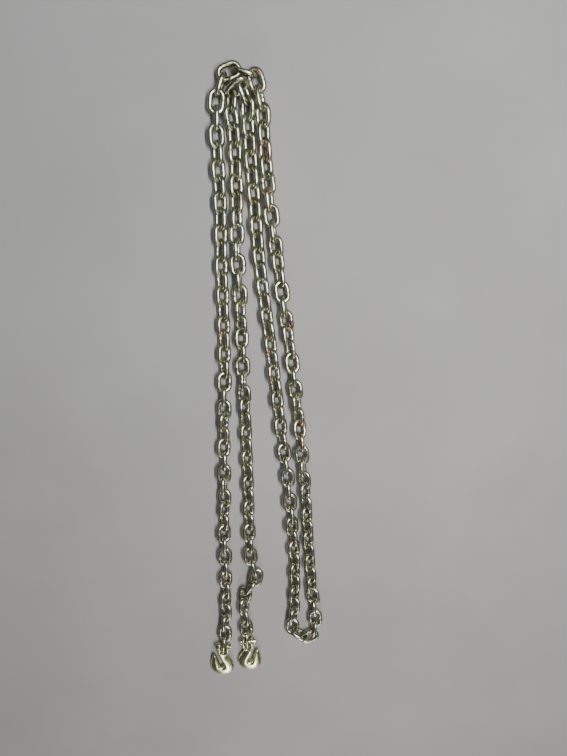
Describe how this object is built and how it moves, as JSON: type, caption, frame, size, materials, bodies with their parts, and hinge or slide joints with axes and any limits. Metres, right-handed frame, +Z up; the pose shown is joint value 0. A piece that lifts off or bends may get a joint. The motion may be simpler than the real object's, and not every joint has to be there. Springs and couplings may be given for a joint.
{
  "type": "steel chain with clevis grab hooks",
  "caption": "Plated short-link steel chain with a clevis grab hook on each end, laid out in long strands that are nearly parallel.",
  "frame": {"origin": "on the floor, under the middle of the laid chain's bounding box", "axes": "+Z up from the floor; the strands run along Y, with both hooks at -Y and the two top bends at +Y"},
  "size_m": [0.284, 1.4246, 0.0487],
  "materials": {
    "chain_links": "yellow chromate plating, bright, greenish yellow with grey and reddish tints",
    "hook_forging": "forged, satin, pale yellow chromate plating",
    "clevis_pin": "turned, yellow chromate plating",
    "cotter_wire": "drawn wire, bright zinc"
  },
  "bodies": {
    "root": {"chain_run_01": "chain_links", "chain_run_02": "chain_links", "chain_run_03": "chain_links", "chain_run_04": "chain_links", "chain_run_05": "chain_links", "chain_run_06": "chain_links", "chain_run_07": "chain_links", "chain_run_08": "chain_links", "chain_run_09": "chain_links", "chain_run_10": "chain_links", "chain_run_11": "chain_links", "chain_run_12": "chain_links", "chain_run_13": "chain_links", "chain_run_14": "chain_links", "chain_run_15": "chain_links", "chain_run_16": "chain_links", "chain_run_17": "chain_links", "chain_run_18": "chain_links", "chain_run_19": "chain_links", "chain_run_20": "chain_links", "chain_run_21": "chain_links", "chain_run_22": "chain_links", "chain_run_23": "chain_links", "chain_run_24": "chain_links", "chain_run_25": "chain_links", "chain_run_26": "chain_links", "chain_run_27": "chain_links", "chain_run_28": "chain_links", "chain_run_29": "chain_links", "chain_run_30": "chain_links", "chain_run_31": "chain_links", "chain_run_32": "chain_links", "chain_run_33": "chain_links", "chain_run_34": "chain_links", "chain_run_35": "chain_links", "chain_run_36": "chain_links", "chain_run_37": "chain_links", "chain_run_38": "chain_links", "chain_run_39": "chain_links", "chain_run_40": "chain_links", "chain_run_41": "chain_links", "chain_run_42": "chain_links", "clevis_pin_a": "clevis_pin", "clevis_pin_b": "clevis_pin", "cotter_a": "cotter_wire", "cotter_b": "cotter_wire", "hook_a": "hook_forging", "hook_b": "hook_forging"}
  },
  "joints": []
}
